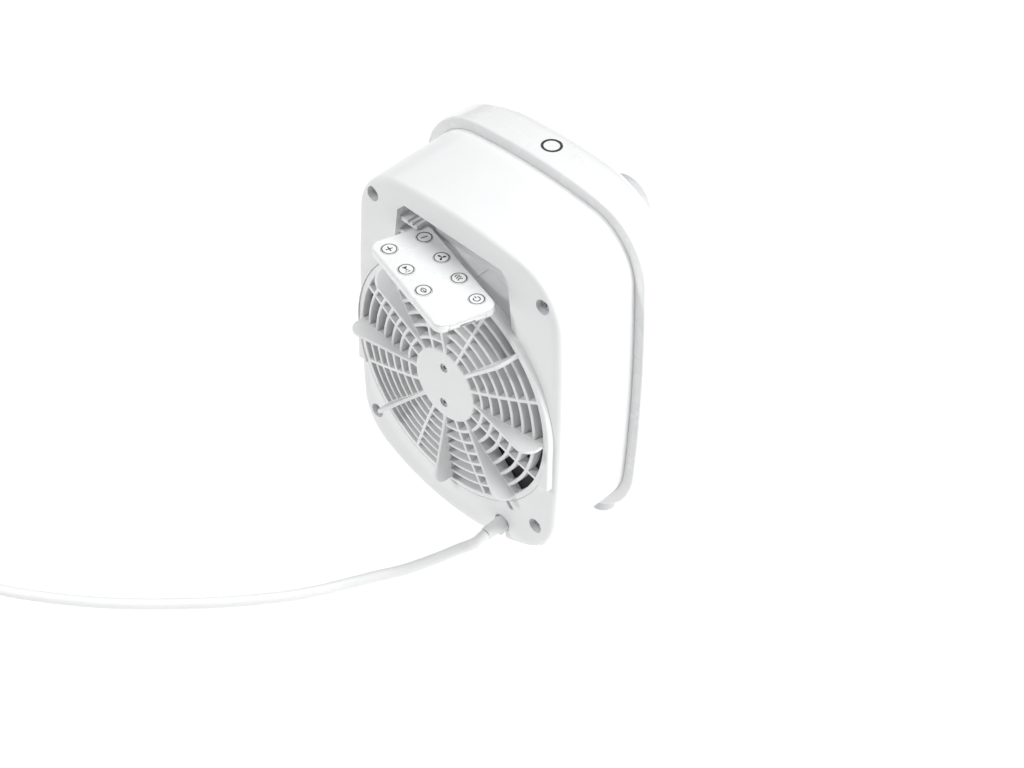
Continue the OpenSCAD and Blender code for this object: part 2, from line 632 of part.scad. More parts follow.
// Round tube along a route that never runs along the given axis
module tube_along(p, r, across_axis) {
    n = len(p);
    points = [for (i = [0 : n - 1]) each tube_ring(p, i, r, across_axis)];
    walls = [for (i = [0 : n - 2], k = [0 : tube_sides - 1])
        let (a = i * tube_sides, b = a + tube_sides, m = (k + 1) % tube_sides) [a + k, a + m, b + m, b + k]];
    start = [for (k = [tube_sides - 1 : -1 : 0]) k];
    end = [for (k = [0 : tube_sides - 1]) (n - 1) * tube_sides + k];
    polyhedron(points = points, faces = concat(walls, [start], [end]));
}
module power_cord() color("white") tube_along(smooth_route(cord_route, 2), cord_d / 2, [0, 0, 1]);
module cord_coil() color("white") translate([coil_centre[0], coil_centre[1], coil_z]) rotate_extrude()
    translate([coil_mean_r - coil_turns_across * cord_d / 2, 0]) square([coil_turns_across * cord_d, coil_h]);
module cord_tie() color("dimgray") translate([coil_centre[0], coil_centre[1], 0]) rotate(200)
    translate([coil_mean_r, -4, 0]) difference() {
        translate([-coil_turns_across * cord_d / 2 - 1.4, 0, 0]) cube([coil_turns_across * cord_d + 2.8, 8, coil_h + 2]);
        translate([-coil_turns_across * cord_d / 2 - 0.5, -1, coil_z - 0.2]) cube([coil_turns_across * cord_d + 1, 10, coil_h + 0.4]);
    }
// Places its children where the cord leaves the coil, with +X along the cord
module at_tail(along) {
    a = tail_angle;
    start = coil_centre + (coil_outer_r - cord_d / 2) * [cos(a), sin(a)];
    translate([start[0], start[1], tail_z]) rotate(a + 90) translate([along, 0, 0]) children();
}
tail_gap = 28;
module cord_tail() color("white") at_tail(tail_gap) rotate([0, 90, 0]) cylinder(r = cord_d / 2, h = tail_l);
module plug_body() color("white") at_tail(tail_gap + tail_l) difference() {
    union() {
        rotate([0, 90, 0]) cylinder(r1 = 4.6, r2 = 7.5, h = plug_neck_l);
        translate([plug_neck_l, -plug_w / 2, -plug_h / 2]) cube([plug_l, plug_w, plug_h]);
    }
    for (y = [-6.35, 6.35]) translate([plug_neck_l + 8, y - 0.8, -3.2]) cube([plug_l, 1.6, 6.4]);
    translate([plug_neck_l + 8, 0, 7.5]) rotate([0, 90, 0]) cylinder(r = 2.4, h = plug_l);
}
module plug_pins() color("goldenrod") at_tail(tail_gap + tail_l) {
    for (y = [-6.35, 6.35]) translate([plug_neck_l + 8, y - 0.75, -3.15]) cube([plug_l - 8 + pin_l, 1.5, 6.3]);
    translate([plug_neck_l + 8, 0, 7.5]) rotate([0, 90, 0]) cylinder(r = 2.35, h = plug_l - 8 + pin_l + 3);
}

// ---- remote control
module at_remote() {
    translate([remote_x, remote_y, remote_z]) rotate(remote_yaw) children();
}
module key_place(column, row) {
    translate([(row - 1.5) * key_pitch, column * key_column, 0]) children();
}
module each_key_place() {
    for (row = [0 : 3]) key_place(-1, row) children();
    for (row = [1 : 3]) key_place(1, row) children();
}
module remote_lower_shell() color("white") at_remote() difference() {
    soft_box([remote_l, remote_w, shell_split], remote_r);
    translate([0, 0, shell_floor]) soft_box([remote_l - 3, remote_w - 3, remote_t], remote_r - 1.5);
    translate([-remote_l / 2 - 1, -tray_w / 2 - 0.2, shell_floor]) cube([6, tray_w + 0.4, 3]);
}
module remote_upper_shell() color("white") at_remote() difference() {
    translate([0, 0, shell_split]) soft_box([remote_l, remote_w, remote_t - shell_split], remote_r);
    translate([0, 0, shell_split - 1]) soft_box([remote_l - 5, remote_w - 5, 1.4], remote_r - 2.5);
    each_key_place() translate([0, 0, shell_split - 1]) cylinder(r = key_r + 0.25, h = 5);
    translate([-remote_l / 2 - 1, -3, shell_split - 1]) cube([3, 6, 1.4]);
}
module remote_key(column, row) color("white") at_remote() key_place(column, row) {
    translate([0, 0, shell_split - 0.1]) cylinder(r = key_r, h = remote_t + key_rise - shell_split + 0.1);
    translate([0, 0, shell_split - 0.35]) cylinder(r = key_r + 0.6, h = 0.5);
}
module key_minus() remote_key(-1, 3);
module key_plus() remote_key(1, 3);
module key_fan() remote_key(-1, 2);
module key_timer() remote_key(1, 2);
module key_mode() remote_key(-1, 1);
module key_eco() remote_key(1, 1);
module key_power() remote_key(-1, 0);
module remote_board() color("darkgreen") at_remote() translate([0, 0, 4.1]) soft_box([remote_l - 4, remote_w - 4, 0.6], 4.2);
module remote_led() color([0.2, 0.1, 0.25]) at_remote() translate([remote_l / 2 - 3.4, 0, 2.6]) rotate([0, 90, 0]) cylinder(r = 1.3, h = 1.8);
module battery_tray() color("white") at_remote() difference() {
    translate([-remote_l / 2, -tray_w / 2, shell_floor + 0.1]) cube([tray_l, tray_w, 2.7]);
    translate([-remote_l / 2 + 12.6, 0, shell_floor + 0.4]) cylinder(r = 10.2, h = 5);
    translate([-remote_l / 2 - 0.5, -5, shell_floor - 1]) cube([1.3, 10, 2.2]);
}
module coin_cell() color("silver") at_remote() translate([-remote_l / 2 + 12.6, 0, shell_floor + 0.45]) cylinder(r = 10, h = 2.3);

rear_housing();
remote_pocket();
rear_grille();
dust_filter();
grille_screws();
housing_screws();
front_frame();
front_panel();
outlet_grille();
display_lens();
knob_ring();
top_symbol();
control_knob();
encoder_shaft();
encoder_rotor();
encoder_body();
control_board();
led_display();
ir_receiver();
main_board();
power_relays();
terminal_block();
filter_capacitor();
fan_shroud();
fan_impeller();
motor_shaft();
motor_can();
motor_bearings();
heater_frame();
heater_fins();
heater_terminals();
thermal_cutout();
tip_switch();
inner_wiring();
rubber_feet();
strain_relief();
cord_clamp();
power_cord();
cord_coil();
cord_tail();
cord_tie();
plug_body();
plug_pins();
remote_lower_shell();
remote_upper_shell();
key_minus();
key_plus();
key_fan();
key_timer();
key_mode();
key_eco();
key_power();
remote_board();
remote_led();
battery_tray();
coin_cell();
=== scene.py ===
from math import atan, atan2, cos, degrees, hypot, pi, radians, sin, sqrt

import bmesh
import bpy
from mathutils import Matrix, Vector


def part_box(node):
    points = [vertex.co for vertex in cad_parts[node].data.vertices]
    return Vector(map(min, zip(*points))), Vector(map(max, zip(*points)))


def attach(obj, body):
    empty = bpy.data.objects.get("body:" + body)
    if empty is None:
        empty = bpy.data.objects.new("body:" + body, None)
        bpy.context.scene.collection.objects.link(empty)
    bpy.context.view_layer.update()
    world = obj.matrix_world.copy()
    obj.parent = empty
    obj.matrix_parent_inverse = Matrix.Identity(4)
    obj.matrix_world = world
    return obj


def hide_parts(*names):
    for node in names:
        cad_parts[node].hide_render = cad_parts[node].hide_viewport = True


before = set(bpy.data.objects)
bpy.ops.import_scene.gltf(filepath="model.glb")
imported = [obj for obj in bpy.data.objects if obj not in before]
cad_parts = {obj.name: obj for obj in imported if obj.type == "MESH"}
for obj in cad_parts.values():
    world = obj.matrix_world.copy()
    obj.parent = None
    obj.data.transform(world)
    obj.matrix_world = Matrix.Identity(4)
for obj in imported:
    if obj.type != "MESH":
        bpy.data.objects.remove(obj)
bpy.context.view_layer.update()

# Lengths below are millimetres in the frame that the CAD part uses, and MM turns them into metres.
# The front faces -Y, the back faces +Y, and Z is up.
MM = 0.001
ROOT = "heater_body"


def box_mm(node):
    low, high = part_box(node)
    return low / MM, high / MM


# ---- sizes, from the frame where a node's box gives them
housing_low, housing_high = box_mm("rear_housing")
filter_low, filter_high = box_mm("dust_filter")
grille_high = box_mm("rear_grille")[1]
knob_low, knob_high = box_mm("control_knob")
sleeve_low, sleeve_high = box_mm("strain_relief")

BOSS_H = 4
BODY_W, BODY_H = housing_high.x - housing_low.x, 239
TUB_TONGUE, FRAME_DEPTH, PANEL_DOME, TUB_RISE = 5, 36, 6.5, 4
BACK_Y = housing_high.y - BOSS_H
TUB_FRONT_Y = housing_low.y
FLANGE_Y = TUB_FRONT_Y + TUB_TONGUE
SEAM_Y = FLANGE_Y - FRAME_DEPTH
FRONT_Y = SEAM_Y - PANEL_DOME
BODY_TOP = housing_high.z - TUB_RISE * (BACK_Y - TUB_FRONT_Y) / (BACK_Y - FLANGE_Y)
BODY_BOTTOM = BODY_TOP - BODY_H
MID_Z = (BODY_TOP + BODY_BOTTOM) / 2
WALL, FIT_GAP = 2.5, 0.15
CORNER_R, SIDE_BOW_R, TOP_BOW_R, BOTTOM_BOW_R = 40, 1200, 420, 150
FLANGE_W, FRAME_FLARE, FRAME_LIFT = 7.5, 0.5, 3
FRAME_ROUND, RIM_TURN, FRONT_CORNER_R = 18, 58, 76
WIDEST_G = FLANGE_W + FRAME_FLARE
WIDEST_Y = SEAM_Y + FRAME_ROUND * sin(radians(RIM_TURN))
RIM_G = WIDEST_G - FRAME_ROUND * (1 - cos(radians(RIM_TURN)))
SCREW_X, SCREW_DZ, SCREW_Z = 72, 88, BODY_BOTTOM + 127
SCREWS = [(x * SCREW_X, SCREW_Z + z * SCREW_DZ) for x in (-1, 1) for z in (-1, 1)]

FAN_Z = (filter_low.z + filter_high.z) / 2
HUB_R, SLOTS_R, SLOT_RINGS, RIB_W = 25.6, 79.6, 7, 2.3
SLOT_W = (SLOTS_R - HUB_R - (SLOT_RINGS - 1) * RIB_W) / SLOT_RINGS
SEAT_R, BOSS_R, BOSS_LEG_Z = 84, 84.5, FAN_Z - 34
DOME_H, DOME_R = 9.4, 550
GRILLE_BACK_Y = BACK_Y - 2.5
FIN_W, FIN_H, FIN_END_R = 2.4, grille_high.y - BACK_Y, 9
MOTOR_R, MOTOR_SEAT, HUB_SCREW_SEAT, HUB_SCREW_DZ = 22.4, 4.5, 6.6, 14

RECESS_TOP_Z, RECESS_FOOT_Z, RECESS_SHIFT, RECESS_CORNER = SCREW_Z + 95, SCREW_Z + 42, 3, 6
RECESS_TOP_W, RECESS_FOOT_W = 94, 105
NOTCH_X, NOTCH_Z = (sleeve_low.x + sleeve_high.x) / 2, (sleeve_low.z + sleeve_high.z) / 2

OUTLET_W, OUTLET_H, OUTLET_Z = 116, 100, BODY_BOTTOM + 81
KNOB_X, KNOB_Z = (knob_low.x + knob_high.x) / 2, (knob_low.z + knob_high.z) / 2
DISPLAY_X, DISPLAY_W, DISPLAY_H = 34, 52, 24

REMOTE_L, REMOTE_W, REMOTE_T, REMOTE_YAW, REMOTE_R = 86, 40, 7, -15, 6
REMOTE_AT = Vector((0.9, BACK_Y + 17.3, box_mm("remote_lower_shell")[0].z))
SHELL_SPLIT, KEY_R, KEY_COLUMN, KEY_PITCH, KEY_RISE = 5.4, 5.2, 11.7, 21.5, 0.3
KEYS = {"minus": (-1, 3), "plus": (1, 3), "fan": (-1, 2), "timer": (1, 2),
        "mode": (-1, 1), "eco": (1, 1), "power": (-1, 0)}

CORD_D, CORD_LENGTH = 7, 1800


# ---- camera: above and behind the heater, a little to its right
def make_camera():
    azimuth, elevation, roll = radians(224.75), radians(42), radians(1.32)
    target = Vector((0, 34.8, 138))
    distance, shift_right, shift_up = 1598.3, 34.68, -13.35
    back = Vector((sin(azimuth) * cos(elevation), -cos(azimuth) * cos(elevation), sin(elevation)))
    level = Vector((0, 0, 1)).cross(back).normalized()
    upright = back.cross(level)
    right = cos(roll) * level + sin(roll) * upright
    up = cos(roll) * upright - sin(roll) * level
    place = target + shift_right * right + shift_up * up + distance * back
    data = bpy.data.cameras.new("camera")
    data.sensor_width = 36
    data.lens = 92.64
    data.clip_start, data.clip_end = 0.05, 50
    camera = bpy.data.objects.new("camera", data)
    axes = Matrix((right, up, back)).transposed().to_4x4()
    camera.matrix_world = Matrix.Translation(place * MM) @ axes
    bpy.context.scene.collection.objects.link(camera)
    bpy.context.scene.camera = camera


make_camera()
bpy.context.scene.view_settings.view_transform = "Standard"


# ---- materials
def new_material(name, colour, roughness, metallic=0.0, specular=0.5):
    made = bpy.data.materials.new(name)
    made.use_nodes = True
    shader = made.node_tree.nodes["Principled BSDF"]
    shader.inputs["Base Color"].default_value = (*colour, 1)
    shader.inputs["Roughness"].default_value = roughness
    shader.inputs["Metallic"].default_value = metallic
    shader.inputs["Specular IOR Level"].default_value = specular
    return made, made.node_tree, shader


def add_noise(tree, scale, detail=3):
    noise = tree.nodes.new("ShaderNodeTexNoise")
    place = tree.nodes.new("ShaderNodeTexCoord")
    tree.links.new(place.outputs["Object"], noise.inputs["Vector"])
    noise.inputs["Scale"].default_value = scale
    noise.inputs["Detail"].default_value = detail
    return noise.outputs["Fac"]


def spread(tree, value, low, high):
    remap = tree.nodes.new("ShaderNodeMapRange")
    tree.links.new(value, remap.inputs["Value"])
    remap.inputs["From Min"].default_value, remap.inputs["From Max"].default_value = 0.3, 0.7
    remap.inputs["To Min"].default_value, remap.inputs["To Max"].default_value = low, high
    return remap.outputs["Result"]


def add_bump(tree, shader, height, strength, distance):
    bump = tree.nodes.new("ShaderNodeBump")
    bump.inputs["Strength"].default_value = strength
    bump.inputs["Distance"].default_value = distance
    tree.links.new(height, bump.inputs["Height"])
    tree.links.new(bump.outputs["Normal"], shader.inputs["Normal"])


def add_tint(tree, shader, value, dark, light):
    ramp = tree.nodes.new("ShaderNodeValToRGB")
    ramp.color_ramp.elements[0].position, ramp.color_ramp.elements[1].position = 0.35, 0.65
    ramp.color_ramp.elements[0].color = (*dark, 1)
    ramp.color_ramp.elements[1].color = (*light, 1)
    tree.links.new(value, ramp.inputs["Fac"])
    tree.links.new(ramp.outputs["Color"], shader.inputs["Base Color"])


def moulded(name, colour, roughness, grain=1400, strength=0.12, tint=0.03, coat=0.0):
    """Injection-moulded plastic: a fine spark texture, and slow changes in gloss and tone."""
    made, tree, shader = new_material(name, colour, roughness)
    shader.inputs["Coat Weight"].default_value = coat
    shader.inputs["Coat Roughness"].default_value = 0.12
    tree.links.new(spread(tree, add_noise(tree, 45), roughness - 0.05, roughness + 0.06),
                   shader.inputs["Roughness"])
    add_tint(tree, shader, add_noise(tree, 18, 2), [c * (1 - tint) for c in colour], colour)
    add_bump(tree, shader, add_noise(tree, grain, 2), strength, 0.00005)
    return made


def metal(name, colour, roughness, grain=900, strength=0.1):
    made, tree, shader = new_material(name, colour, roughness, metallic=1.0)
    tree.links.new(spread(tree, add_noise(tree, 160), roughness - 0.06, roughness + 0.08),
                   shader.inputs["Roughness"])
    add_tint(tree, shader, add_noise(tree, 70), [c * 0.9 for c in colour], colour)
    add_bump(tree, shader, add_noise(tree, grain), strength, 0.00003)
    return made


def mesh_cloth(name):
    """Black woven filter: square mesh of threads about half a millimetre apart."""
    made, tree, shader = new_material(name, (0.02, 0.02, 0.022), 0.7)
    place = tree.nodes.new("ShaderNodeTexCoord")
    heights = []
    for axis in ("X", "Z"):
        wave = tree.nodes.new("ShaderNodeTexWave")
        wave.bands_direction = axis
        wave.inputs["Scale"].default_value = 600
        tree.links.new(place.outputs["Object"], wave.inputs["Vector"])
        heights.append(wave.outputs["Fac"])
    highest = tree.nodes.new("ShaderNodeMath")
    highest.operation = "MAXIMUM"
    for index, height in enumerate(heights):
        tree.links.new(height, highest.inputs[index])
    add_tint(tree, shader, highest.outputs["Value"], (0.006, 0.006, 0.007), (0.05, 0.05, 0.055))
    add_bump(tree, shader, highest.outputs["Value"], 0.6, 0.0002)
    return made


def board_green(name):
    made, tree, shader = new_material(name, (0.02, 0.16, 0.07), 0.35)
    add_tint(tree, shader, add_noise(tree, 300, 4), (0.012, 0.10, 0.045), (0.03, 0.2, 0.09))
    add_bump(tree, shader, add_noise(tree, 500), 0.3, 0.00008)
    return made


WHITE = moulded("white_plastic", (0.86, 0.865, 0.87), 0.38)
WHITE_GLOSS = moulded("white_gloss_plastic", (0.88, 0.885, 0.89), 0.26, grain=900, strength=0.05, coat=0.25)
WHITE_CORD = moulded("white_cord_vinyl", (0.84, 0.845, 0.85), 0.42, grain=700, strength=0.2)
GREY_INK = moulded("grey_ink", (0.035, 0.037, 0.04), 0.5, grain=2500, strength=0.2, tint=0.2)
BLACK = moulded("black_plastic", (0.03, 0.03, 0.033), 0.42, strength=0.25, tint=0.2)
BLACK_GLASS = moulded("smoked_lens", (0.012, 0.012, 0.015), 0.1, grain=300, strength=0.02, tint=0.3, coat=0.6)
RUBBER = moulded("dark_rubber", (0.06, 0.06, 0.065), 0.75, grain=1800, strength=0.5, tint=0.3)
# Pearl grey plastic for the knob; on the feet the same grey is painted shade, standing in for the grey shade
# under the flange's end.
PEARL_AND_PAINTED_SHADE = moulded("pearl_grey_plastic_and_painted_shade", (0.66, 0.665, 0.68), 0.34, grain=900, strength=0.08)
CHROME = metal("chrome", (0.8, 0.81, 0.83), 0.12)
STEEL = metal("zinc_steel", (0.52, 0.53, 0.55), 0.36, strength=0.2)
BRASS = metal("brass", (0.72, 0.52, 0.2), 0.3)
ALUMINIUM = metal("fin_aluminium", (0.68, 0.69, 0.7), 0.42)
FILTER = mesh_cloth("filter_mesh")
BOARD = board_green("circuit_board")
PART_BLUE = moulded("relay_blue", (0.03, 0.12, 0.45), 0.4)
PART_GREEN = moulded("terminal_green", (0.03, 0.3, 0.12), 0.45)
PART_YELLOW = moulded("capacitor_yellow", (0.75, 0.55, 0.05), 0.45)
PART_IVORY = moulded("ivory_plastic", (0.75, 0.7, 0.58), 0.5)
CERAMIC = moulded("heater_ceramic", (0.72, 0.69, 0.62), 0.8, grain=900, strength=0.5, tint=0.12)
RED_WIRE = moulded("red_wire", (0.5, 0.02, 0.02), 0.4, grain=600)


# ---- mesh helpers
def make_object(name, mesh):
    made = bpy.data.objects.new(name, mesh)
    bpy.context.scene.collection.objects.link(made)
    return made


def solid(name, points, faces):
    """Closed mesh object from points in millimetres."""
    mesh = bpy.data.meshes.new(name)
    mesh.from_pydata([Vector(p) * MM for p in points], [], faces)
    work = bmesh.new()
    work.from_mesh(mesh)
    bmesh.ops.recalc_face_normals(work, faces=work.faces)
    work.to_mesh(mesh)
    work.free()
    return make_object(name, mesh)


def loft(name, rings, cyclic=False):
    """Skin over rings of equal size. A cyclic loft joins its last ring to its first; others are capped."""
    size = len(rings[0])
    points = [p for ring in rings for p in ring]
    pairs = [(i, i + 1) for i in range(len(rings) - 1)] + ([(len(rings) - 1, 0)] if cyclic else [])
    faces = [(a * size + k, a * size + (k + 1) % size, b * size + (k + 1) % size, b * size + k)
             for a, b in pairs for k in range(size)]
    if not cyclic:
        faces += [tuple(range(size)), tuple((len(rings) - 1) * size + k for k in range(size))]
    return solid(name, points, faces)


def prism_y(name, shape, y0, y1):
    """Prism along Y of a shape given as (x, z) points."""
    return loft(name, [[(x, y, z) for x, z in shape] for y in (y0, y1)])


def circle(r, n=96, x=0.0, z=0.0):
    return [(x + r * cos(2 * pi * k / n), z + r * sin(2 * pi * k / n)) for k in range(n)]


def cylinder_y(name, x, z, y0, y1, r0, r1=None, n=64):
    rings = [[(px, y, pz) for px, pz in circle(r, n, x, z)] for y, r in ((y0, r0), (y1, r1 or r0))]
    return loft(name, rings)


def lathe_y(name, profile, x, z, n=96):
    """Turned solid about the Y axis through (x, z). The profile is closed, (radius, y), off the axis."""
    rings = []
    for k in range(n):
        a = 2 * pi * k / n
        rings.append([(x + r * cos(a), y, z + r * sin(a)) for r, y in profile])
    return loft(name, rings, cyclic=True)


def arc(cx, cz, r, a0, a1, n):
    """n points round an arc, its end left out; angles in degrees."""
    angles = [radians(a0 + (a1 - a0) * k / n) for k in range(n)]
    return [(cx + r * cos(a), cz + r * sin(a)) for a in angles]


def rectangle(u0, u1, v0, v1):
    return [(u0, v0), (u1, v0), (u1, v1), (u0, v1)]


def rounded_rect(w, h, r, n=10, x=0.0, z=0.0):
    points = []
    for sx, sz, a in ((1, 1, 0), (-1, 1, 90), (-1, -1, 180), (1, -1, 270)):
        cx, cz = x + sx * (w / 2 - r), z + sz * (h / 2 - r)
        end = radians(a + 90)
        points += arc(cx, cz, r, a, a + 90, n) + [(cx + r * cos(end), cz + r * sin(end))]
    return points


def rise(y):
    """How much higher the tub sits at depth y than at its back face."""
    return TUB_RISE * (BACK_Y - y) / (BACK_Y - FLANGE_Y)


def body_outline(grow=0.0, lift=0.0, corner=CORNER_R):
    """Outline of the body seen along Y, grown outwards, from arcs that meet smoothly."""
    half_h = (BODY_TOP - BODY_BOTTOM) / 2

    def quarter(bow_r):
        side_x, end_z = BODY_W / 2 - SIDE_BOW_R, half_h - bow_r
        r1, r2 = SIDE_BOW_R - corner, bow_r - corner
        d = hypot(side_x, end_z)
        along = (r1 * r1 - r2 * r2 + d * d) / (2 * d)
        off = sqrt(r1 * r1 - along * along)
        ux, uz = -side_x / d, end_z / d
        cx, cz = side_x + ux * along - uz * off, uz * along + ux * off
        t1 = degrees(atan2(cz, cx - side_x))
        t2 = degrees(atan2(cz - end_z, cx))
        return (arc(side_x, 0, SIDE_BOW_R + grow, 0, t1, 8) + arc(cx, cz, corner + grow, t1, t2, 20)
                + arc(0, end_z, bow_r + grow, t2, 90, 12) + [(0, half_h + grow)])

    upper, lower = quarter(TOP_BOW_R), quarter(BOTTOM_BOW_R)
    shape = upper + [(-x, z) for x, z in upper[-2:0:-1]]
    shape += [(-x, -z) for x, z in lower[:-1]] + [(x, -z) for x, z in lower[:0:-1]]
    return [(x, z + MID_Z + lift) for x, z in shape]


def tub_ring(grow, y):
    """Ring round the tub at depth y, where the outline has risen."""
    return [(x, y, z) for x, z in body_outline(grow, rise(y))]


def front_shape(grow, corner=FRONT_CORNER_R):
    return body_outline(grow, FRAME_LIFT, corner)


def front_ring(grow, y, corner=FRONT_CORNER_R):
    """Ring round the front frame or the panel at depth y."""
    return [(x, y, z) for x, z in front_shape(grow, corner)]


def combine(target, tools, operation="DIFFERENCE"):
    """Applies each tool to the target as a boolean, and removes the tool."""
    for tool in tools:
        cut = target.modifiers.new("cut", "BOOLEAN")
        cut.operation = operation
        cut.solver = "EXACT"
        cut.object = tool
        bake(target)
        mesh = tool.data
        bpy.data.objects.remove(tool)
        bpy.data.meshes.remove(mesh)
    return target


def bake(target):
    """Turns the object's modifiers into its mesh."""
    graph = bpy.context.evaluated_depsgraph_get()
    mesh = bpy.data.meshes.new_from_object(target.evaluated_get(graph))
    target.modifiers.clear()
    old = target.data
    target.data = mesh
    bpy.data.meshes.remove(old)
    mesh.name = target.name


def move_mm(target, matrix):
    """Moves the object's mesh by a matrix whose lengths are millimetres."""
    target.data.transform(Matrix.Scale(MM, 4) @ matrix @ Matrix.Scale(1 / MM, 4))
    return target


def weld(target, distance=0.004):
    work = bmesh.new()
    work.from_mesh(target.data)
    bmesh.ops.remove_doubles(work, verts=work.verts, dist=distance * MM)
    bmesh.ops.dissolve_degenerate(work, edges=work.edges, dist=distance * MM)
    work.to_mesh(target.data)
    work.free()


def soften(target, width=0.4, angle=38, segments=2):
    """Rounds the sharp edges a little, as a moulded part has them, and smooths the rest."""
    weld(target)
    bevel = target.modifiers.new("bevel", "BEVEL")
    bevel.width = width * MM
    bevel.segments = segments
    bevel.limit_method = "ANGLE"
    bevel.angle_limit = radians(angle)
    bevel.use_clamp_overlap = True
    bake(target)
    smooth(target)
    return target


def smooth(target, angle=38):
    for face in target.data.polygons:
        face.use_smooth = True
    target.data.set_sharp_from_angle(angle=radians(angle))
    normals = target.modifiers.new("normals", "WEIGHTED_NORMAL")
    normals.keep_sharp = True
    bake(target)
    return target


def place(target, material, body, slot, *nodes):
    """Gives a finished piece its material and its body, and hides the CAD nodes that it stands for."""
    target.data.materials.clear()
    target.data.materials.append(material)
    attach(target, body)
    if nodes:
        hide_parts(*nodes)
    return target


# ---- cord: sleeve, free stretch, coil and plug
CORD_ROUTE = [
    (-43.5, 49.5, 32), (-43.5, 51.5, 31.7), (-42, 57, 28.5), (-35, 63.5, 22.5), (-28, 71, 16.5),
    (-20, 80.5, 10.5), (-12, 91.5, 6), (-4, 104, 4), (4, 121, 3.6), (12, 138.5, 3.6), (20, 153, 3.6),
    (28.5, 166, 3.6), (45, 188, 3.6), (67, 213.5, 3.6), (93, 240, 3.6), (122, 264, 3.6),
    (148, 282, 3.8), (172, 293.5, 4.2),
]
COIL_X, COIL_Y, COIL_LOW_Z = 179, 349, 4.5
COIL_RADII = [47, 40, 33, 33, 40, 47]
UPPER_LAYER = 3    # the first turn that lies on top
COIL_ENTRY, TAIL_ANGLE, CROSSOVER = -64.4, 30, 60    # degrees
TAIL_REACH, STEPS_A_TURN = 52, 36


def eased(t):
    return t * t * (3 - 2 * t)


def coil_points():
    """Six turns in two layers: inwards along the floor, and outwards again on top."""
    end = TAIL_ANGLE + 360 * (len(COIL_RADII) - 1)
    steps = round((end - COIL_ENTRY) / 360 * STEPS_A_TURN)
    points = []
    for k in range(steps + 1):
        angle = COIL_ENTRY + (end - COIL_ENTRY) * k / steps
        turn = min(int((angle - COIL_ENTRY) // 360), len(COIL_RADII) - 1)
        left = 360 - (angle - COIL_ENTRY - 360 * turn)
        share = eased(max(0, 1 - left / CROSSOVER)) if turn < len(COIL_RADII) - 1 else 0
        following = min(turn + 1, len(COIL_RADII) - 1)
        r = COIL_RADII[turn] + share * (COIL_RADII[following] - COIL_RADII[turn])
        layer = (turn >= UPPER_LAYER) + share * ((following >= UPPER_LAYER) - (turn >= UPPER_LAYER))
        a = radians(angle)
        points.append((COIL_X + r * cos(a), COIL_Y + r * sin(a), COIL_LOW_Z + layer * CORD_D))
    return points


def tail_place(along):
    """Matrix of the frame that the plug is drawn in: +X along the cord, from where it leaves the coil."""
    a = radians(TAIL_ANGLE)
    start = Vector((COIL_X + COIL_RADII[-1] * cos(a), COIL_Y + COIL_RADII[-1] * sin(a), COIL_LOW_Z + CORD_D))
    turn = Matrix.Rotation(a + pi / 2, 4, "Z")
    return Matrix.Translation(start) @ turn @ Matrix.Translation((along, 0, 0))


def make_cord():
    points = [Vector(p) for p in CORD_ROUTE] + [Vector(p) for p in coil_points()]
    points += [tail_place(d).to_translation() for d in (14, 28, 40, TAIL_REACH + 2)]
    curve = bpy.data.curves.new("power_lead", "CURVE")
    curve.dimensions = "3D"
    curve.bevel_depth = CORD_D / 2 * MM
    curve.bevel_resolution = 6
    curve.resolution_u = 6
    curve.use_fill_caps = True
    spline = curve.splines.new("BEZIER")
    spline.bezier_points.add(len(points) - 1)
    for index, (knot, point) in enumerate(zip(spline.bezier_points, points)):
        before, after = points[max(index - 1, 0)], points[min(index + 1, len(points) - 1)]
        direction = (after - before).normalized()
        knot.co = point * MM
        knot.handle_left_type = knot.handle_right_type = "FREE"
        knot.handle_left = (point - direction * (point - before).length / 3) * MM
        knot.handle_right = (point + direction * (after - point).length / 3) * MM
    lead = make_object("power_lead", curve)
    return place(lead, WHITE_CORD, ROOT, "white_cord", "power_cord", "cord_coil", "cord_tail")


def make_plug():
    """Moulded plug: ribbed neck that widens into a body with a waisted grip and a flat face."""
    neck, length, width, height = 14, 32, 26, 22
    neck_r, neck_flare, rib_depth, neck_steps = 4.6, 2.9, 0.35, 8
    grip = ((0.02, 0.74), (0.06, 0.86), (0.14, 0.95), (0.28, 0.98), (0.5, 0.93), (0.72, 0.95),
            (0.84, 0.99), (0.93, 1.0), (0.985, 0.99), (1.0, 0.965))
    body_roundness = 0.32
    stations = []
    for k in range(neck_steps + 1):
        t = k / neck_steps
        across = 2 * (neck_r + neck_flare * t - (rib_depth if k % 2 else 0))
        stations.append((neck * t, across, across, 1.0))
    stations += [(neck + length * t, width * scale, height * scale, body_roundness) for t, scale in grip]
    rings = []
    for x, w, h, roundness in stations:
        r = min(w, h) / 2 * roundness - 0.001
        rings.append([(x, y, z) for y, z in rounded_rect(w, h, r, 8)])
    plug = move_mm(loft("plug_moulding", rings), tail_place(TAIL_REACH))

    pin_y, pin_half_w, pin_half_h, pin_depth = 6.35, 0.8, 3.2, 24
    holes = []
    for y in (-pin_y, pin_y):
        shape = rectangle(-pin_half_w, pin_half_w, -pin_half_h, pin_half_h)
        slot = loft("slot", [[(x, y + b, c) for b, c in shape]
                             for x in (neck + length - pin_depth, neck + length + 2)])
        holes.append(move_mm(slot, tail_place(TAIL_REACH)))
    combine(plug, holes)
    soften(plug, 0.3)
    return place(plug, WHITE, ROOT, "white_cord", "plug_body")


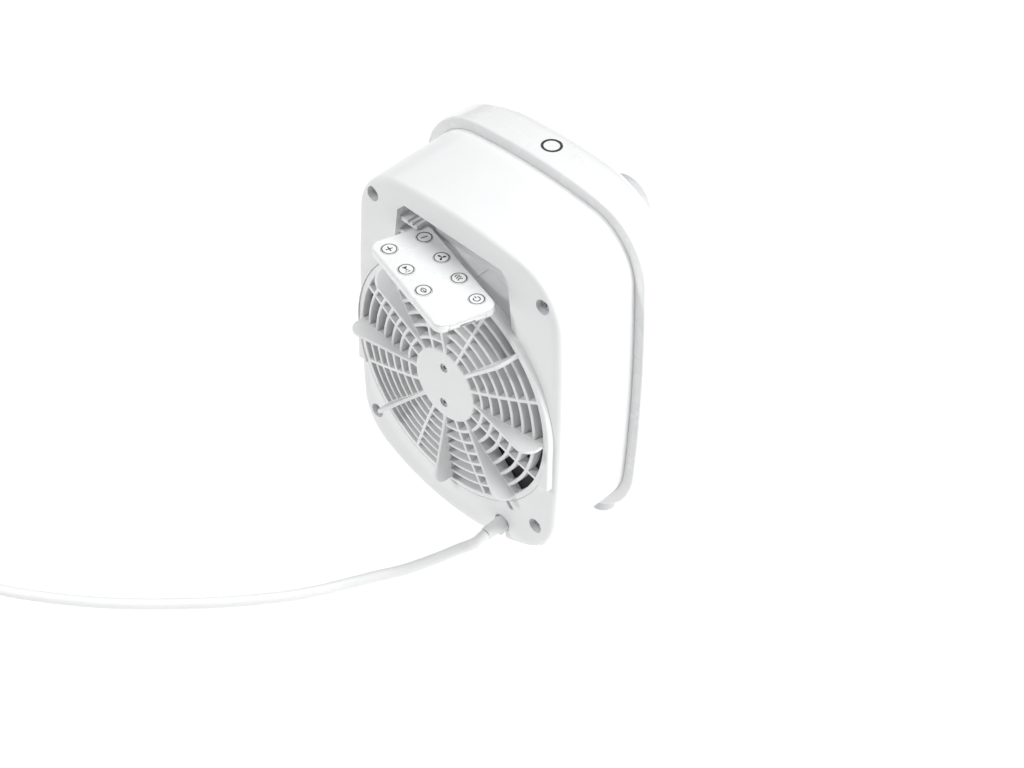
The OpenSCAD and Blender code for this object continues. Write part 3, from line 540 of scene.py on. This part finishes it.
def make_tie():
    """Soft strap round one side of the coil: a thin band with rounded corners."""
    across, tall, half_w, band = 3 * CORD_D + 2.8, 2 * CORD_D + 2, 4, 0.9
    outer = rounded_rect(across, tall, 4, 8)
    inner = rounded_rect(across - 2 * band, tall - 1.6, 3.4, 8)
    rings = []
    for v, shape in ((-half_w, inner), (-half_w, outer), (half_w, outer), (half_w, inner)):
        rings.append([(x, v, z) for x, z in shape])
    strap_angle, middle_r = radians(200), 40
    turn = Matrix.Rotation(strap_angle, 4, "Z") @ Matrix.Translation((middle_r, 0, 0))
    strap = move_mm(loft("coil_strap", rings, cyclic=True),
                    Matrix.Translation((COIL_X, COIL_Y, tall / 2)) @ turn)
    soften(strap, 0.2)
    return place(strap, RUBBER, ROOT, "dark_rubber", "cord_tie")


def make_sleeve():
    """Tapered strain relief, and its collar inside the housing."""
    bore_r, root_r, collar_r = 3.45, 5, 8
    inner_end, collar_back, collar_front = BACK_Y - 12, BACK_Y - 6.5, BACK_Y - 3.3
    profile = [(bore_r, inner_end), (root_r, inner_end), (root_r, collar_back), (collar_r, collar_back),
               (collar_r, collar_front), (root_r, collar_front), (root_r, BACK_Y + 1),
               (4.3, BACK_Y + 13.4), (4.0, BACK_Y + 14.5), (bore_r, BACK_Y + 14.9)]
    sleeve = lathe_y("cord_sleeve", profile, NOTCH_X, NOTCH_Z, 64)
    soften(sleeve, 0.15)
    return place(sleeve, WHITE_CORD, ROOT, "white_plastic", "strain_relief")


power_lead = make_cord()
plug = make_plug()
strap = make_tie()
make_sleeve()


# ---- casing
def arch_shape(grow=0.0):
    """Arch over the grille with straight legs, as (x, z) points."""
    r = BOSS_R + grow
    foot = BOSS_LEG_Z - grow
    angles = [pi * k / 72 for k in range(73)]
    return [(r * cos(a), FAN_Z + r * sin(a)) for a in angles] + [(-r, foot), (r, foot)]


def make_arch():
    """Raised arch with its outer edge rounded over."""
    round_r = 1.2
    rings = [[(x, BACK_Y - 1, z) for x, z in arch_shape()]]
    for k in range(5):
        a = radians(90 * k / 4)
        rings.append([(x, BACK_Y + BOSS_H - round_r * (1 - sin(a)), z)
                      for x, z in arch_shape(-round_r * (1 - cos(a)))])
    return loft("arch", rings)


def make_skirt():
    """Slope that blends the lower half of the grille's edge into the back face."""
    widest, narrow, height = SEAT_R + 18, SEAT_R - 0.6, 3.0
    side_limit, root_y, steps = BODY_W / 2 - 6.5, BACK_Y - 1, 8
    below = degrees(atan2(30, SEAT_R))
    start, end, turn_steps = 180 + below, 360 - below, 60
    rings = []
    for k in range(turn_steps + 1):
        a = radians(start + (end - start) * k / turn_steps)
        outer = min(widest, side_limit / max(abs(cos(a)), 0.1))
        section = [(narrow, root_y)]
        for step in range(steps + 1):
            t = step / steps
            rise_here = height * (1 - eased(t)) ** 1.3
            section.append((narrow + (outer - narrow) * t, BACK_Y - 0.02 + rise_here))
        section.append((outer, root_y))
        rings.append([(r * cos(a), y, FAN_Z + r * sin(a)) for r, y in section])
    return loft("skirt", rings)


def recess_prism(y0, y1):
    """Hand recess: a trapezium with cut upper corners, less the disc of the grille's arch."""
    top, foot = RECESS_TOP_W / 2, RECESS_FOOT_W / 2
    cut = RECESS_CORNER
    shape = [(-foot, RECESS_FOOT_Z), (foot, RECESS_FOOT_Z), (top, RECESS_TOP_Z - cut),
             (top - cut, RECESS_TOP_Z), (cut - top, RECESS_TOP_Z), (-top, RECESS_TOP_Z - cut)]
    recess = prism_y("recess", [(RECESS_SHIFT + x, z) for x, z in shape], y0, y1)
    return combine(recess, [cylinder_y("below", 0, FAN_Z, y0 - 1, y1 + 1, BOSS_R + 0.5, n=144)])


def make_rear_housing():
    """Tub with a rounded back edge, the arch, the screw wells, the recess and the cord's notch."""
    fillet_g, fillet_y, steps = 6.5, 3.4, 10
    rings = [tub_ring(0, TUB_FRONT_Y), tub_ring(0, BACK_Y - fillet_y)]
    for k in range(1, steps + 1):
        a = radians(90 * k / steps)
        rings.append(tub_ring(-fillet_g * (1 - cos(a)), BACK_Y - fillet_y * (1 - sin(a))))
    housing = loft("rear_casing", rings)
    combine(housing, [make_arch(), make_skirt()], "UNION")
    combine(housing, [loft("cavity", [tub_ring(-WALL, TUB_FRONT_Y - 1), tub_ring(-WALL, BACK_Y - 3)])])
    boss_r, boss_from, boss_to = 6.8, BACK_Y - 14, BACK_Y - 2.5
    combine(housing, [cylinder_y("boss", x, z, boss_from, boss_to, boss_r) for x, z in SCREWS], "UNION")

    inside, outside, near = BACK_Y - 10, BACK_Y + 20, BACK_Y + 6
    well_r, well_mouth_r, screw_bore_r, notch_r, slot_half_w = 4.7, 5.3, 2.1, 6.3, 3
    tools = [cylinder_y("seat", 0, FAN_Z, inside, outside, SEAT_R - FIT_GAP, n=144),
             recess_prism(inside, outside)]
    tools += [cylinder_y("well", x, z, BACK_Y - 6, BACK_Y + 4, well_r, well_mouth_r, 40) for x, z in SCREWS]
    tools += [cylinder_y("bore", x, z, BACK_Y - 20, BACK_Y, screw_bore_r, n=24) for x, z in SCREWS]
    slot = rectangle(NOTCH_X - slot_half_w, NOTCH_X + slot_half_w, BODY_BOTTOM - 3, NOTCH_Z)
    tools += [cylinder_y("notch", NOTCH_X, NOTCH_Z, inside, near, notch_r, n=48),
              prism_y("slot", slot, inside, near)]
    latch_x, latch_z, latch_w, latch_h, lean = -52, FAN_Z - 69, 3.4, 8.4, radians(-30)
    latch = [(latch_x + x * cos(lean) - z * sin(lean), latch_z + x * sin(lean) + z * cos(lean))
             for x, z in rounded_rect(latch_w, latch_h, 1.2, 4)]
    tools.append(prism_y("latch", latch, BACK_Y - 6, near))
    combine(housing, tools)
    soften(housing, 0.45)
    return place(housing, WHITE, ROOT, "white_plastic", "rear_housing")


def make_front_frame():
    """Hollow frame, lofted as one closed section: rounded lip, side, rounded front, then the inside."""
    lip, lip_steps, round_steps = 1.3, 5, 12
    rim_wall, ledge_y, step_y = 2.2, FLANGE_Y - 6, FLANGE_Y - 16
    inner_g = -WALL - 0.2
    rings = [tub_ring(FIT_GAP, FLANGE_Y)]
    for k in range(lip_steps + 1):
        a = radians(90 * (1 - k / lip_steps))
        rings.append(tub_ring(FLANGE_W - lip * (1 - cos(a)), FLANGE_Y - lip * (1 - sin(a))))
    for k in range(round_steps + 1):
        a = radians(RIM_TURN * k / round_steps)
        grow, y = WIDEST_G - FRAME_ROUND * (1 - cos(a)), WIDEST_Y - FRAME_ROUND * sin(a)
        rings.append(front_ring(grow, y, CORNER_R + (FRONT_CORNER_R - CORNER_R) * k / round_steps))
    rings += [front_ring(RIM_G - rim_wall, SEAM_Y), front_ring(RIM_G - rim_wall, step_y),
              tub_ring(inner_g, step_y), tub_ring(inner_g, ledge_y), tub_ring(FIT_GAP, ledge_y)]
    rim = loft("front_surround", rings, cyclic=True)

    post_r, bore_r, web_half_w, web_half_h, web_inwards = 4, 1.75, 12, 2, 0.96
    posts = [cylinder_y("post", x, z, step_y - 0.5, BACK_Y - 14.2, post_r, n=32) for x, z in SCREWS]
    for x, z in SCREWS:
        web = rectangle(x * web_inwards - web_half_w, x * web_inwards + web_half_w,
                        z - web_half_h, z + web_half_h)
        posts.append(prism_y("web", web, step_y + 1, ledge_y - 0.2))
    combine(rim, posts, "UNION")
    combine(rim, [cylinder_y("bore", x, z, BACK_Y - 24, BACK_Y - 10, bore_r, n=24) for x, z in SCREWS])
    soften(rim, 0.35)
    return place(rim, WHITE_GLOSS, ROOT, "white_plastic", "front_frame")


def make_front_panel():
    """Domed panel with the outlet, the display's window and the knob's bore cut through it."""
    edge, first, dome_w, dome_steps = RIM_G - 0.9, 1.3, 26, 16
    edge_y = SEAM_Y - 0.3
    rings = [front_ring(edge - first, SEAM_Y + 3), front_ring(edge - first, edge_y)]
    for k in range(1, dome_steps + 1):
        t = (k / dome_steps) ** 1.6
        inset = first + (dome_w - first) * t
        rings.append(front_ring(edge - inset, edge_y - (PANEL_DOME - 0.3) * (1 - (1 - t) ** 3)))
    panel = loft("front_cover", rings)
    front, back = FRONT_Y - 5, SEAM_Y + 5
    outlet = rounded_rect(OUTLET_W, OUTLET_H, 22, 14, z=OUTLET_Z)
    window = rounded_rect(DISPLAY_W, DISPLAY_H, 8, 10, DISPLAY_X, KNOB_Z)
    tools = [prism_y("hollow", front_shape(edge - 4), SEAM_Y - 0.5, back),
             prism_y("hollow", front_shape(edge - 14), SEAM_Y - 2.5, back + 1),
             prism_y("outlet", outlet, front, back), prism_y("window", window, front, back),
             cylinder_y("bore", KNOB_X, KNOB_Z, front, back, 5)]
    combine(panel, tools)
    soften(panel, 0.5)
    return place(panel, WHITE_GLOSS, ROOT, "white_plastic", "front_panel")


# ---- rear grille
def dome_y(r):
    """Y of the grille's domed face at radius r."""
    return BACK_Y + DOME_H - DOME_R + sqrt(DOME_R * DOME_R - r * r)


def fan_point(angle, r, s, y):
    """Point at radius r in a spoke's direction, and s to its side."""
    return r * cos(angle) - s * sin(angle), y, FAN_Z + r * sin(angle) + s * cos(angle)


def rib_profile(inner, outer, lowest):
    """Section of a round rib whose two upper edges are rounded."""
    round_r = 0.7
    top_in, top_out = dome_y(inner), dome_y(outer)
    profile = [(inner, lowest), (inner, top_in - round_r)]
    for a in (radians(30), radians(60)):
        profile.append((inner + round_r * (1 - cos(a)), top_in - round_r * (1 - sin(a))))
    profile += [(inner + round_r, top_in), (outer - round_r, top_out)]
    for a in (radians(60), radians(30)):
        profile.append((outer - round_r * (1 - cos(a)), top_out - round_r * (1 - sin(a))))
    return profile + [(outer, top_out - round_r), (outer, lowest)]


def make_hub():
    """Hub of the grille, hollow behind for the motor."""
    edge, axis_r, seat_y = 1.2, 0.01, BACK_Y + MOTOR_SEAT
    profile = [(axis_r, seat_y), (MOTOR_R, seat_y), (MOTOR_R, GRILLE_BACK_Y), (HUB_R, GRILLE_BACK_Y),
               (HUB_R, dome_y(HUB_R) - edge)]
    for a in (radians(30), radians(60), radians(90)):
        profile.append((HUB_R - edge * (1 - cos(a)), dome_y(HUB_R) - edge * (1 - sin(a))))
    profile += [(r, dome_y(r)) for r in (18, 12, 6, axis_r)]
    hub = lathe_y("hub", profile, 0, FAN_Z, 96)
    weld(hub, 0.05)
    return hub


def spoke(angle, width):
    """Bar along a radius, from the hub to the rim, whose top follows the dome."""
    round_r, steps, overlap = 0.6, 8, 1.5
    half, lowest, chamfer = width / 2, GRILLE_BACK_Y + 0.3, round_r * 0.3
    rings = []
    for k in range(steps + 1):
        r = HUB_R - overlap + (SLOTS_R + 2.5 - HUB_R) * k / steps
        top = dome_y(r) - 0.06
        side = [(half, lowest), (half, top - round_r), (half - chamfer, top - chamfer), (half - round_r, top)]
        section = [(-s, y) for s, y in side] + side[::-1]
        rings.append([fan_point(angle, r, s, y) for s, y in section])
    return loft("spoke", rings)


def fin(angle):
    """Fin on a main spoke: it rises from the hub to a round end, and its edges are rounded."""
    foot_r, foot_n, root_n = HUB_R - 2.6, DOME_H - 1.2, 1
    end_r, end_n = SLOTS_R - 8, FIN_H - FIN_END_R
    turn = degrees(atan((FIN_H - foot_n) / (end_r - foot_r)))

    def outline(inset):
        end = end_r + FIN_END_R - inset
        return ([(foot_r + inset, root_n + inset), (foot_r + inset, foot_n - inset)]
                + arc(end_r, end_n, FIN_END_R - inset, 90 + turn, 0, 14)
                + [(end, end_n), (end, root_n + inset)])

    half = FIN_W / 2
    side = ((half - 0.8, 0), (half - 0.5, 0.1), (half - 0.16, 0.4), (half - 0.02, 0.75))
    layers = [(-s, inset) for s, inset in side[::-1]] + list(side)
    return loft("fin", [[fan_point(angle, r, s, BACK_Y + n) for r, n in outline(inset)]
                        for s, inset in layers])


def join(name, objects):
    work = bmesh.new()
    for part in objects:
        work.from_mesh(part.data)
    mesh = bpy.data.meshes.new(name)
    work.to_mesh(mesh)
    work.free()
    for part in objects:
        bpy.data.objects.remove(part)
    return make_object(name, mesh)


def make_rear_grille():
    """Hub, round ribs, thin and main spokes and fins, joined into one part with two screw holes."""
    edges = [HUB_R + i * (SLOT_W + RIB_W) for i in range(SLOT_RINGS)]
    profiles = [rib_profile(r - RIB_W, r, GRILLE_BACK_Y) for r in edges[1:]]
    ribs = [lathe_y("rib", profile, 0, FAN_Z, 144) for profile in profiles]
    rim = lathe_y("rim", rib_profile(SLOTS_R, SEAT_R - 0.2, GRILLE_BACK_Y), 0, FAN_Z, 144)
    grille = join("intake_grille", ribs + [make_hub(), rim])
    main = [spoke(radians(45 * i), FIN_W + 0.8) for i in range(8)]
    thin = [spoke(radians(45 * i + 22.5), RIB_W) for i in range(8)]
    combine(grille, [join("spokes", main + thin)], "UNION")
    combine(grille, [join("fins", [fin(radians(45 * i)) for i in range(8)])], "UNION")
    seat_r, mouth_r, bore_r, seat_y = 3.1, 3.9, 1.8, BACK_Y + HUB_SCREW_SEAT
    holes = []
    for z in (FAN_Z - HUB_SCREW_DZ, FAN_Z + HUB_SCREW_DZ):
        holes.append(cylinder_y("recess", 0, z, seat_y, BACK_Y + 30, seat_r, mouth_r, 40))
        holes.append(cylinder_y("bore", 0, z, BACK_Y, BACK_Y + 8, bore_r, n=24))
    combine(grille, holes)
    weld(grille)
    smooth(grille, 32)
    return place(grille, WHITE, ROOT, "white_plastic", "rear_grille")


# ---- control knob
def make_knob():
    """Cap with a rounded face, a plain side and a small dimple that marks where it points."""
    r = (knob_high.x - knob_low.x) / 2
    front, base, wall = knob_low.y, knob_high.y, 3
    round_w, round_h, face_depth, axis_r = 2.4, 3, 0.5, 0.01
    profile = [(r - wall, base), (r, base), (r, front + round_h)]
    for k in range(1, 7):
        a = radians(15 * k)
        profile.append((r - round_w * (1 - cos(a)), front + round_h - round_h * sin(a)))
    profile += [(r - 8, front + 0.35), (4, front + face_depth), (axis_r, front + face_depth),
                (axis_r, front + wall), (r - wall, front + wall)]
    knob = lathe_y("knob_cap", profile, KNOB_X, KNOB_Z, 120)
    weld(knob, 0.05)
    dimple_r, dimple_in = 1.6, 5.5
    dimple = cylinder_y("dimple", KNOB_X, KNOB_Z + r - dimple_in, front - 1, front + 1, dimple_r, n=32)
    combine(knob, [dimple])
    soften(knob, 0.25, 50)
    return place(knob, PEARL_AND_PAINTED_SHADE, "knob", "white_plastic", "control_knob")


# ---- remote control
TO_REMOTE = Matrix.Translation(REMOTE_AT) @ Matrix.Rotation(radians(REMOTE_YAW), 4, "Z")


def move_to_remote(target):
    return move_mm(target, TO_REMOTE)


def level_prism(name, shape, z0, z1):
    return loft(name, [[(x, y, z) for x, y in shape] for z in (z0, z1)])


def slab(name, stations):
    """Rounded slab of the remote control's outline, from (inset, height) stations."""
    rings = []
    for inset, z in stations:
        shape = rounded_rect(REMOTE_L - 2 * inset, REMOTE_W - 2 * inset, REMOTE_R - inset, 10)
        rings.append([(x, y, z) for x, y in shape])
    return loft(name, rings)


def remote_inside(inset, z0, z1):
    shape = rounded_rect(REMOTE_L - 2 * inset, REMOTE_W - 2 * inset, REMOTE_R - inset, 8)
    return level_prism("hollow", shape, z0, z1)


def make_remote():
    """Lower and upper shell, with a fine seam between them, the tray's way and the keys' holes."""
    tray_end, tray_half_w, floor_z, tray_top = -REMOTE_L / 2, 12.2, 1.2, 4.2
    lower = slab("remote_bottom", [(1.3, 0), (0.75, 0.12), (0.3, 0.5), (0.06, 1.1), (0, 1.8),
                                   (0, SHELL_SPLIT - 0.25), (0.2, SHELL_SPLIT - 0.05)])
    way = rectangle(tray_end - 1, tray_end + 5, -tray_half_w, tray_half_w)
    combine(lower, [remote_inside(1.5, floor_z, REMOTE_T), level_prism("way", way, floor_z, tray_top)])
    move_to_remote(soften(lower, 0.2))
    place(lower, WHITE_GLOSS, "remote", "white_plastic", "remote_lower_shell")

    upper = slab("remote_top", [(0.2, SHELL_SPLIT + 0.05), (0, SHELL_SPLIT + 0.25), (0.02, REMOTE_T - 0.95),
                                (0.3, REMOTE_T - 0.35), (0.8, REMOTE_T - 0.06), (1.4, REMOTE_T)])
    tools = [remote_inside(2.5, SHELL_SPLIT - 1, SHELL_SPLIT + 0.4)]
    for spot in KEYS.values():
        x, y = key_centre(*spot)
        tools.append(level_prism("hole", circle(KEY_R + 0.2, 48, x, y), SHELL_SPLIT - 1, REMOTE_T + 4))
    combine(upper, tools)
    move_to_remote(soften(upper, 0.12, 50))
    place(upper, WHITE_GLOSS, "remote", "white_plastic", "remote_upper_shell")


def key_centre(column, row):
    return (row - 1.5) * KEY_PITCH, column * KEY_COLUMN


def stroke(points, width):
    """Outline of a line of even width along (x, y) points."""
    left, right = [], []
    for k, (x, y) in enumerate(points):
        ax, ay = points[max(k - 1, 0)]
        bx, by = points[min(k + 1, len(points) - 1)]
        length = hypot(bx - ax, by - ay)
        nx, ny = -(by - ay) / length * width / 2, (bx - ax) / length * width / 2
        left.append((x + nx, y + ny))
        right.append((x - nx, y - ny))
    return left + right[::-1]


def bar(angle, half, width=0.8):
    """Straight line through the key's middle, as long to either side as half says."""
    c, s = cos(radians(angle)) * half, sin(radians(angle)) * half
    return stroke([(-c, -s), (c, s)], width)


def icon_shapes(name):
    """Plain signs, drawn about the key's middle."""
    if name == "minus":
        return [bar(90, 2.3)]
    if name == "plus":
        return [bar(90, 2.3), bar(0, 2.3)]
    if name == "fan":
        blade_r, half_l, half_w, hub_r = 1.75, 1.15, 0.72, 0.55
        blades = []
        for a in (radians(20), radians(140), radians(260)):
            middle_x, middle_y = blade_r * cos(a), blade_r * sin(a)
            blades.append([(middle_x + half_l * cos(t) * cos(a) - half_w * sin(t) * sin(a),
                            middle_y + half_l * cos(t) * sin(a) + half_w * sin(t) * cos(a))
                           for t in (2 * pi * j / 20 for j in range(20))])
        return blades + [circle(hub_r, 16)]
    if name == "timer":
        full, empty = [(0.1, 0), (2.5, 1.7), (2.5, -1.7)], [(-0.1, 0), (-2.4, 1.6), (-2.4, -1.6), (-0.1, 0)]
        return [full, stroke(empty, 0.55)]
    if name == "mode":
        return [stroke([(2.2 - 0.5 * cos(pi * k / 6) - 1.5 * row, -1.8 + 0.3 * k) for k in range(13)], 0.75)
                for row in (-0.2, 1.0, 2.2)]
    if name == "eco":
        leaf = [(-2.2 + 4.4 * k / 12, 1.5 * sin(pi * k / 12)) for k in range(13)]
        leaf += [(2.2 - 4.4 * k / 12, -1.5 * sin(pi * k / 12)) for k in range(1, 12)]
        return [stroke(leaf + leaf[:2], 0.6), stroke([(-2.6, -0.5), (-0.8, 0.1), (1.2, 0.1)], 0.5)]
    ring = [(2.0 * cos(radians(t)), 2.0 * sin(radians(t))) for t in range(35, 326, 10)]
    return [stroke(ring, 0.7), stroke([(0.6, 0), (2.7, 0)], 0.7)]


def make_keys():
    """Round keys, each with a printed circle and a plain sign that stand proud by a hair."""
    top, foot = REMOTE_T + KEY_RISE, SHELL_SPLIT + 0.15
    ink_low, ink_top, ink_outer_r, ink_inner_r = top - 0.1, top + 0.03, 4.8, 4.15
    ink_edges = rectangle(ink_inner_r, ink_outer_r, ink_low, ink_top)
    stations = ((KEY_R + 0.6, SHELL_SPLIT - 0.35), (KEY_R + 0.6, foot), (KEY_R, foot + 0.05),
                (KEY_R, top - 0.4), (KEY_R - 0.1, top - 0.12), (KEY_R - 0.4, top))
    for name, spot in KEYS.items():
        x, y = key_centre(*spot)
        rings = [[(px, py, z) for px, py in circle(r, 64, x, y)] for r, z in stations]
        key = move_to_remote(loft("key_cap_" + name, rings))
        smooth(key, 50)
        place(key, WHITE_GLOSS, "button_" + name, "white_plastic", "key_" + name)

        rings = [[(px, py, z) for px, py in circle(r, 64, x, y)] for r, z in ink_edges]
        ring = loft("ring", rings, cyclic=True)
        signs = []
        for shape in icon_shapes(name):
            signs.append(level_prism("sign", [(x + a, y + b) for a, b in shape], ink_low, ink_top))
        ink = move_to_remote(join("print_" + name, [ring] + signs))
        place(ink, GREY_INK, "button_" + name, "grey_print")


make_rear_housing()
make_front_frame()
make_front_panel()
make_rear_grille()
make_knob()
make_remote()
make_keys()


# ---- CAD nodes that keep their own shape
CARRIED = {
    WHITE: ["remote_pocket", "cord_clamp", "fan_shroud", "battery_tray"],
    FILTER: ["dust_filter"],
    STEEL: ["housing_screws", "grille_screws", "motor_can", "motor_shaft", "encoder_shaft", "encoder_rotor",
            "coin_cell"],
    BLACK: ["outlet_grille", "fan_impeller", "encoder_body", "tip_switch", "ir_receiver", "remote_led"],
    BLACK_GLASS: ["display_lens"],
    CHROME: ["knob_ring"],
    GREY_INK: ["top_symbol"],
    PEARL_AND_PAINTED_SHADE: ["rubber_feet"],
    # The feet's pale grey is painted shade: it stands in for the grey shade under the flange's end, not for
    # the feet's own colour.
    BRASS: ["plug_pins", "heater_terminals", "motor_bearings"],
    ALUMINIUM: ["heater_fins"],
    CERAMIC: ["heater_frame", "thermal_cutout"],
    BOARD: ["control_board", "main_board", "remote_board"],
    PART_BLUE: ["power_relays"],
    PART_GREEN: ["terminal_block"],
    PART_YELLOW: ["filter_capacitor"],
    PART_IVORY: ["led_display"],
    RED_WIRE: ["inner_wiring"],
}
for material, nodes in CARRIED.items():
    for node in nodes:
        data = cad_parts[node].data
        data.materials.clear()
        data.materials.append(material)


# ---- floor and light
def make_floor():
    """Pale plain floor that glows a little, so that it reads as a white studio sweep."""
    half = 4
    mesh = bpy.data.meshes.new("floor")
    mesh.from_pydata([(x, y, 0) for x, y in rectangle(-half, half, -half, half)], [], [(0, 1, 2, 3)])
    floor = make_object("floor", mesh)
    made, _, shader = new_material("pale_floor", (0.22, 0.22, 0.22), 0.95, specular=0.0)
    shader.inputs["Emission Color"].default_value = (1, 1, 1, 1)
    shader.inputs["Emission Strength"].default_value = 0.88
    floor.data.materials.append(made)


def make_sun(name, towards_light, strength, spread_angle):
    data = bpy.data.lights.new(name, "SUN")
    data.energy = strength
    data.angle = radians(spread_angle)
    light = bpy.data.objects.new(name, data)
    light.rotation_mode = "QUATERNION"
    light.rotation_quaternion = Vector(towards_light).to_track_quat("Z", "Y")
    bpy.context.scene.collection.objects.link(light)


def make_world(strength):
    world = bpy.data.worlds.new("studio")
    world.use_nodes = True
    background = world.node_tree.nodes["Background"]
    background.inputs["Color"].default_value = (1, 1, 1, 1)
    background.inputs["Strength"].default_value = strength
    bpy.context.scene.world = world


make_floor()
make_world(0.12)
make_sun("key", (0.276, 0.69, 0.67), 1.15, 5)
make_sun("overhead", (0, -0.2, 1), 2.25, 40)
make_sun("right_fill", (-1, -0.35, 0.2), 2.0, 30)
